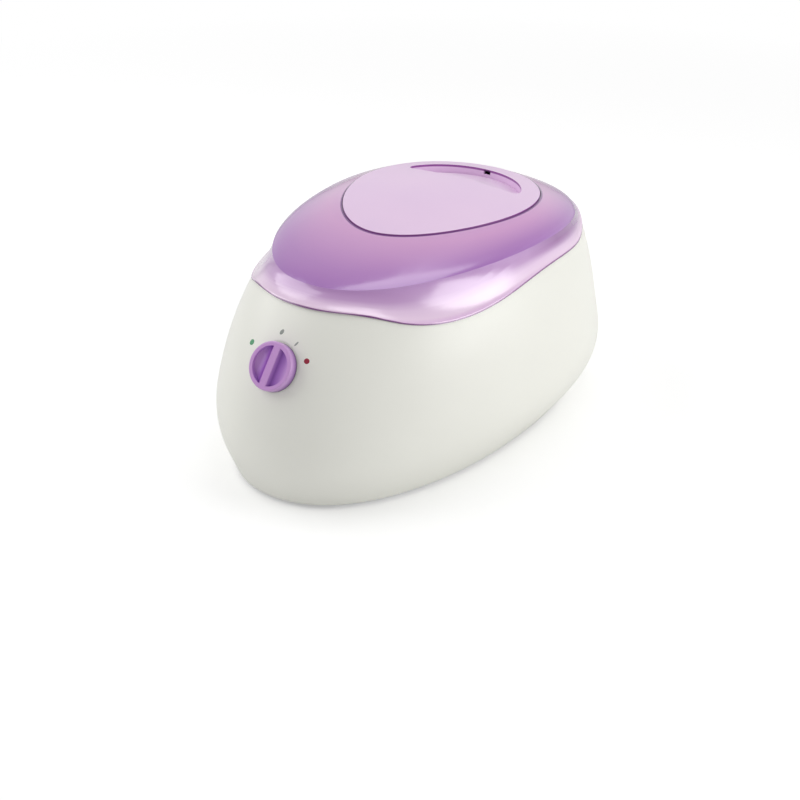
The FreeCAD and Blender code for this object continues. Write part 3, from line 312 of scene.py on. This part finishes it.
def rim_height(shader, along):
    """The rim's height, from the place along the lid."""
    skin = skin_of("outer_housing")
    curve = shader.add("FloatCurve")
    points = curve.mapping.curves[0].points
    while len(points) < RIM_STEPS:
        points.new(0.5, 0.5)
    for step, point in enumerate(points):
        share = step / (RIM_STEPS - 1)
        level = rim_level(skin, RIM_FIRST + (RIM_LAST - RIM_FIRST) * share)
        point.location = (share, (level - RIM_LOW) / (RIM_HIGH - RIM_LOW))
    curve.mapping.update()
    share = shader.math("DIVIDE", shader.math("SUBTRACT", along, RIM_FIRST), RIM_LAST - RIM_FIRST)
    shader.feed(share, curve.inputs["Value"])
    return shader.math("MULTIPLY_ADD", curve.outputs["Value"], RIM_HIGH - RIM_LOW, RIM_LOW)


def panel_reach(shader, across, along):
    """1 on the panel's outline, less inside it and more outside."""
    front, back = (corner.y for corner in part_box("lid_panel"))
    u = shader.math("DIVIDE", shader.math("SUBTRACT", along, (front + back) / 2), (back - front) / 2)
    width = shader.math("MULTIPLY_ADD", u, PANEL_HALF_WIDTH * PANEL_BIAS, PANEL_HALF_WIDTH)
    v = shader.math("DIVIDE", across, width)
    powers = [shader.math("POWER", shader.math("ABSOLUTE", part), PANEL_SQUARE) for part in (u, v)]
    return shader.math("POWER", shader.math("ADD", *powers), 1 / PANEL_SQUARE)


def lid_plastic(name):
    """Tinted lid plastic with painted light: painted shade deep where the dome turns down to its edge, a painted
    reflection pale on the flared skirt, and painted shade by the tail, along the rim and in the groove round the
    panel.
    """
    shader = Shader(name)
    across, along, up = shader.axes(shader.place())
    rim = rim_height(shader, along)
    offset = shader.math("SUBTRACT", along, DOME_EDGE_AT)
    fall = shader.math("DIVIDE", shader.math("MULTIPLY", offset, offset), 2 * DOME_EDGE_RADIUS)
    edge = shader.math("SUBTRACT", DOME_EDGE_TOP, fall)
    above_rim = shader.math("SUBTRACT", up, rim)
    above_edge = shader.math("SUBTRACT", up, edge)

    share = shader.math("DIVIDE", above_rim, shader.math("SUBTRACT", edge, rim))
    # Painted shade on the upper skirt by the tail.
    tail_shade = shader.math("MULTIPLY", shader.fade(along, *TAIL_ALONG), shader.fade(share, *TAIL_SHARES))
    # The skirt's and the dome's ramps are painted reflection and shade.
    skirt = shader.mix(tail_shade, shader.ramp(share, SKIRT_REFLECTION_AND_SHADE), TAIL_SHADE)
    dome = shader.ramp(shader.math("DIVIDE", above_edge, DOME_SHADE_RISE), DOME_SHADE_AND_REFLECTION)
    body = shader.mix(shader.fade(above_edge, -DOME_EDGE_BLUR, DOME_EDGE_BLUR), skirt, dome)
    # Painted shadow line along the rim.
    gap_shadowed = shader.mix(shader.fade(above_rim, *LIP_HEIGHTS), body, RIM_GAP_SHADOW)
    # Painted shadow in the groove round the panel.
    in_groove = shader.fade(panel_reach(shader, across, along), *GROOVE_REACH)
    shader.set(Base_Color=shader.mix(in_groove, gap_shadowed, GROOVE_SHADOW))

    shader.gloss(scale=40.0, detail=0.0, low=0.2, high=0.26)
    shader.bump(shader.noise(scale=60.0, detail=0.0), SKIN_DEPTH)
    shader.set(IOR=1.55, Coat_Weight=1.0, Coat_Roughness=0.18, Coat_IOR=1.65)
    return shader.material


# --------------------------------------------------------------------------------------------------------
# Panel plastic
# --------------------------------------------------------------------------------------------------------
# The panel's top is part of a sphere.
CROWN_CENTRE = Vector((0.0, 0.0288, -0.3305))
PANEL_TOP_RADIUS = 0.513
PANEL_TINTS = ((0.2, linear(235, 207, 238)), (0.8, linear(240, 212, 240)))
# Painted shade on the upright edges of the panel and its recess, near the top.
PANEL_EDGE_SHADE = linear(150, 84, 158)
PANEL_EDGE_FACING = (0.75, 0.5)            # the upward share of the normal: where the tint ends, and is full
PANEL_EDGE_DEPTHS = (0.00227, 0.0016)      # below the panel's top, likewise


def panel_plastic(name):
    """Pale satin plastic, with painted shade on its upright faces within about two millimetres of its top."""
    shader = Shader(name)
    upward = shader.axes(shader.add("NewGeometry").outputs["Normal"])[2]
    reach = shader.vector_math("DISTANCE", shader.place(), CROWN_CENTRE, output="Value")
    depth = shader.math("SUBTRACT", PANEL_TOP_RADIUS, reach)
    # Painted shade on upright faces near the top.
    edge = shader.math("MULTIPLY", shader.fade(upward, *PANEL_EDGE_FACING),
                       shader.fade(depth, *PANEL_EDGE_DEPTHS))
    cloud = shader.ramp(shader.noise(scale=14.0, detail=1.0), PANEL_TINTS)
    shader.set(Base_Color=shader.mix(edge, cloud, PANEL_EDGE_SHADE))
    shader.gloss(scale=40.0, detail=1.0, low=0.28, high=0.34)
    return shader.material


# --------------------------------------------------------------------------------------------------------
# Knob plastic
# --------------------------------------------------------------------------------------------------------
KNOB_TOP = 0.0086            # the knob's face above its joint, along the axis
KNOB_HEIGHT = 0.008
KNOB_TURN = 6.0              # the grip rib's lean at rest
KNOB_SIDE_RADII = (0.0178, 0.018)      # the face's tint turns into the side's between these
HOLLOW_REACH = 0.0155
HOLLOW_DEPTHS = (0.00015, 0.0004)      # below the face: where the hollow's tint starts, and where it is full

# Painted shade across a hollow from the rib to the ring, and painted shade down the knob's side from the face to a
# painted shadow at the foot
HOLLOW_SHADE = ((0.18, linear(198, 144, 213)), (0.24, linear(168, 108, 196)), (0.33, linear(134, 72, 170)),
                (0.46, linear(170, 112, 202)), (0.68, linear(192, 140, 214)), (0.97, linear(202, 150, 216)))
KNOB_SIDE_SHADOW = ((0.0, linear(206, 160, 216)), (0.4, linear(184, 140, 198)), (0.8, linear(140, 98, 160)),
                   (1.0, linear(70, 36, 90)))
KNOB_FACE_TINT = linear(204, 152, 217)
KNOB_SKIN_DEPTH = 0.000004


def knob_axes():
    """The knob's centre on the housing, its axis, and the up-slope and rightward directions."""
    joint = next(j for j in frame["joints"] if j["name"] == "knob_turn")
    axis = Vector(joint["axis"]).normalized()
    right = Vector((1.0, 0.0, 0.0))
    return Vector(joint["pos_m"]), axis, axis.cross(right).normalized(), right


def knob_plastic(name):
    """Knob plastic: pale on the ring and the rib, with painted shade deep in the hollows and a painted shadow at
    the foot of the side.
    """
    shader = Shader(name)
    centre, axis, up, right = knob_axes()
    turn = math.radians(KNOB_TURN)
    sideways = right * math.cos(turn) - up * math.sin(turn)
    offset = shader.vector_math("SUBTRACT", shader.place(), centre)
    height = shader.vector_math("DOT_PRODUCT", offset, axis, output="Value")
    reach = shader.vector_math("LENGTH", offset, output="Value")
    aside = shader.math("ABSOLUTE", shader.vector_math("DOT_PRODUCT", offset, sideways, output="Value"))
    squares = shader.math("SUBTRACT", shader.math("POWER", reach, 2.0), shader.math("POWER", height, 2.0))
    radius = shader.math("SQRT", squares)
    depth = shader.math("SUBTRACT", KNOB_TOP, height)

    # Painted shade in the hollows.
    hollow = shader.ramp(shader.math("DIVIDE", aside, HOLLOW_REACH), HOLLOW_SHADE)
    face = shader.mix(shader.fade(depth, *HOLLOW_DEPTHS), KNOB_FACE_TINT, hollow)
    # Painted shade down the side, darkest at the foot as a painted shadow.
    side = shader.ramp(shader.math("DIVIDE", depth, KNOB_HEIGHT), KNOB_SIDE_SHADOW)
    shader.set(Base_Color=shader.mix(shader.fade(radius, *KNOB_SIDE_RADII), face, side))
    shader.gloss(scale=80.0, detail=1.0, low=0.28, high=0.34)
    shader.bump(shader.noise(scale=200.0, detail=0.0), KNOB_SKIN_DEPTH)
    return shader.material


# --------------------------------------------------------------------------------------------------------
# Every material slot's finish
# --------------------------------------------------------------------------------------------------------
def make_materials():
    return {
        "white_housing": moulded("white_abs", linear(243, 243, 235), linear(241, 241, 233), 0.32),
        "purple_lid": lid_plastic("purple_abs"),
        "pale_panel": panel_plastic("pale_lilac_abs"),
        "purple_knob": knob_plastic("knob_abs"),
        "basin_metal": metal("drawn_aluminium", grey(0.74), grey(0.7), 0.34, **DRAWN),
        "seal_silicone": moulded("seal_silicone", grey(0.62), grey(0.56), 0.55),
        "screw_steel": metal("zinc_steel", grey(0.64), grey(0.56), 0.32),
        "shield_steel": metal("sheet_steel", grey(0.64), grey(0.58), 0.34, **BRUSHED),
        "heater_silicone": moulded("heater_silicone", linear(196, 92, 60), linear(180, 80, 52), 0.6),
        "felt": fibres("white_felt", linear(226, 222, 210), linear(196, 190, 176)),
        "grille_plastic": moulded("grille_plastic", linear(236, 236, 232), linear(230, 230, 226), 0.45),
        "copper": metal("copper", linear(214, 140, 104), linear(200, 126, 92), 0.3),
        "spring_steel": metal("spring_steel", grey(0.5), grey(0.42), 0.3),
        "fuse_body": metal("fuse_metal", grey(0.66), grey(0.58), 0.3),
        "stat_body": moulded("black_phenolic", linear(46, 45, 46), linear(38, 37, 38), 0.45),
        "tag_brass": metal("tag_brass", linear(214, 190, 130), linear(196, 170, 110), 0.3),
        "base_plastic": moulded("base_plastic", linear(224, 224, 221), linear(218, 218, 215), 0.5, **COARSE),
        "foot_rubber": moulded("foot_rubber", linear(52, 52, 52), linear(44, 44, 44), 0.75, **COARSE),
        "inlet_plastic": moulded("inlet_plastic", linear(30, 30, 31), linear(24, 24, 25), 0.4),
        "block_plastic": moulded("block_plastic", linear(232, 228, 214), linear(226, 221, 206), 0.45),
        "inlet_wire": moulded("brown_wire", linear(112, 70, 44), linear(100, 60, 36), 0.45),
        "stat_wire": moulded("black_wire", linear(48, 48, 50), linear(40, 40, 42), 0.45),
        "heater_wire": moulded("white_wire", linear(228, 228, 224), linear(220, 220, 215), 0.45),
    }


def dress_frame(materials):
    """Gives every CAD node its finish."""
    for entry in frame["record"]["subparts"]:
        node = frame["nodes"][entry["node"]]
        node.data.materials.clear()
        node.data.materials.append(materials[entry["material_slot"]])


# --------------------------------------------------------------------------------------------------------
# Printed marks round the knob, laid on the housing's skin. Their sizes are in millimetres.
# --------------------------------------------------------------------------------------------------------
MARKS = (
    # name, angle clockwise from up the slope, distance from the axis, half length, half width, turn, colour
    ("dial_mark_low", -67.5, 32.3, 2.3, 2.6, 23.0, (74, 148, 104)),
    ("dial_mark_middle", -9.3, 27.1, 2.4, 1.6, 32.0, (142, 148, 142)),
    ("dial_mark_warm", 27.5, 24.3, 2.2, 0.75, 2.0, (150, 155, 150)),
    ("dial_mark_high", 63.9, 26.2, 2.2, 2.2, 0.0, (150, 22, 52)),
)
MILLIMETRE = 0.001
MARK_STEPS = 32
MARK_CAST = 0.03           # rays to the housing's skin start this far out along the knob's axis
INK_LIFT = 0.00006
INK_RINGS = ((0.0, INK_LIFT), (0.5, INK_LIFT), (0.94, INK_LIFT), (1.0, -INK_LIFT))
INK_WEAR = 22              # how much paler the ink gets in places, of 255
INK_WEAR_FROM, INK_WEAR_TO = 0.35, 0.75      # the part of a noise over which it does


def printed(name, colour):
    """Matt ink with faint wear."""
    shader = Shader(name)
    paler = [min(255, value + INK_WEAR) for value in colour]
    stops = ((INK_WEAR_FROM, linear(*colour)), (INK_WEAR_TO, linear(*paler)))
    shader.set(Base_Color=shader.ramp(shader.noise(scale=1400.0, detail=3.0), stops), Roughness=0.45)
    return shader.material


def make_mark(skin, name, angle, distance, half_long, half_wide, turn, colour):
    """A round or oval spot of ink, a thin domed sheet whose border dips into the housing."""
    centre, axis, up, right = knob_axes()
    around, lean = math.radians(angle), math.radians(angle + turn)
    outward = up * math.cos(around) + right * math.sin(around)
    middle = centre + outward * distance * MILLIMETRE
    along = up * math.cos(lean) + right * math.sin(lean)
    across = axis.cross(along)

    mesh = bmesh.new()
    rings = []
    for share, lift in INK_RINGS:
        ring = []
        for step in range(1 if share == 0.0 else MARK_STEPS):
            a = 2 * math.pi * step / MARK_STEPS
            offset = along * half_long * math.cos(a) + across * half_wide * math.sin(a)
            start = middle + offset * share * MILLIMETRE + axis * MARK_CAST
            place, normal = skin.ray_cast(start, -axis)[:2]
            ring.append(mesh.verts.new(place + normal * lift))
        rings.append(ring)
    hub = rings[0][0]
    for i in range(MARK_STEPS):
        j = (i + 1) % MARK_STEPS
        mesh.faces.new((hub, rings[1][i], rings[1][j]))
        for inner, outer in zip(rings[1:], rings[2:]):
            mesh.faces.new((inner[i], outer[i], outer[j], inner[j]))
    bmesh.ops.recalc_face_normals(mesh, faces=mesh.faces)

    data = bpy.data.meshes.new(name)
    mesh.to_mesh(data)
    mesh.free()
    data.polygons.foreach_set("use_smooth", [True] * len(data.polygons))
    data.materials.append(printed(name + "_ink", colour))
    mark = bpy.data.objects.new(name, data)
    bpy.context.scene.collection.objects.link(mark)
    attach(mark, "housing")


def make_marks():
    skin = skin_of("outer_housing")
    for mark in MARKS:
        make_mark(skin, *mark)


# --------------------------------------------------------------------------------------------------------
# Floor, background and lamps
# --------------------------------------------------------------------------------------------------------
FLOOR_SIZE = 16.0
FLOOR_DROP = 0.0002           # the floor lies this far below the feet
FLOOR_GREY = 0.86
FLOOR_ROUGHNESS = 0.5
FLOOR_GLOW = 0.3              # brings the floor that the camera sees near to white
FLOOR_FADE = (0.5, 1.214)     # from the object: where the floor starts to turn white, and where it is white

ROOM_GREY = 0.8
ROOM_HEIGHTS = (0.25, 0.65)   # between these upward shares of the direction the room gets darker
ROOM_STRENGTHS = (0.9, 0.42)

LAMP_TARGET = Vector((0.0, 0.0, 0.1))
LAMPS = (
    # name, azimuth, elevation, distance, width and height, power
    ("right_box", 107.0, 18.0, 1.5, (0.9, 0.8), 8.0),
    ("left_box", -68.0, 38.0, 1.6, (1.4, 1.3), 10.5),
    ("top_box", 175.0, 72.0, 1.6, (1.2, 0.9), 6.0),
)


def make_floor():
    """A pale floor that keeps the object's shadow and fades to the backdrop's white far from it."""
    bpy.ops.mesh.primitive_plane_add(size=FLOOR_SIZE, location=(0.0, 0.0, -FLOOR_DROP))
    floor = bpy.context.object
    floor.name = "floor"
    shader = Shader("floor_white")
    shader.set(Base_Color=grey(FLOOR_GREY), Roughness=FLOOR_ROUGHNESS)
    plain = shader.surface.outputs["BSDF"]
    glow = shader.add("Emission", grey(1.0), FLOOR_GLOW).outputs["Emission"]
    white = shader.add("Emission", grey(1.0), 1.0).outputs["Emission"]
    lit = shader.add("AddShader", plain, glow).outputs["Shader"]
    far = shader.fade(shader.vector_math("LENGTH", shader.place(), output="Value"), *FLOOR_FADE)
    seen = shader.add("MixShader", far, lit, white).outputs["Shader"]
    by_camera = shader.add("LightPath").outputs["Is Camera Ray"]
    shown = shader.add("MixShader", by_camera, plain, seen).outputs["Shader"]
    shader.feed(shown, shader.output.inputs["Surface"])
    floor.data.materials.append(shader.material)


def make_world():
    """A soft room, darker overhead, behind which the camera sees plain white."""
    world = bpy.data.worlds.new("studio")
    bpy.context.scene.world = world
    world.use_nodes = True
    nodes = Nodes(world.node_tree)
    upward = nodes.axes(nodes.add("TexCoord").outputs["Generated"])[2]
    strength = nodes.spread(upward, *ROOM_HEIGHTS, *ROOM_STRENGTHS)
    room = nodes.add("Background", grey(ROOM_GREY), strength).outputs["Background"]
    backdrop = nodes.add("Background", grey(1.0), 1.0).outputs["Background"]
    by_camera = nodes.add("LightPath").outputs["Is Camera Ray"]
    shown = nodes.add("MixShader", by_camera, room, backdrop).outputs["Shader"]
    nodes.add("OutputWorld", Surface=shown)


def make_lamp(name, azimuth, elevation, distance, size, power):
    data = bpy.data.lights.new(name, "AREA")
    data.shape = "RECTANGLE"
    data.size, data.size_y = size
    data.energy = power
    lamp = bpy.data.objects.new(name, data)
    bpy.context.scene.collection.objects.link(lamp)
    back = direction(azimuth, elevation)
    lamp.location = LAMP_TARGET + back * distance
    lamp.rotation_euler = (-back).to_track_quat("-Z", "Y").to_euler()


def make_lamps():
    for lamp in LAMPS:
        make_lamp(*lamp)


make_camera()
dress_frame(make_materials())
make_marks()
make_floor()
make_world()
make_lamps()
bpy.context.scene.view_settings.view_transform = "Standard"
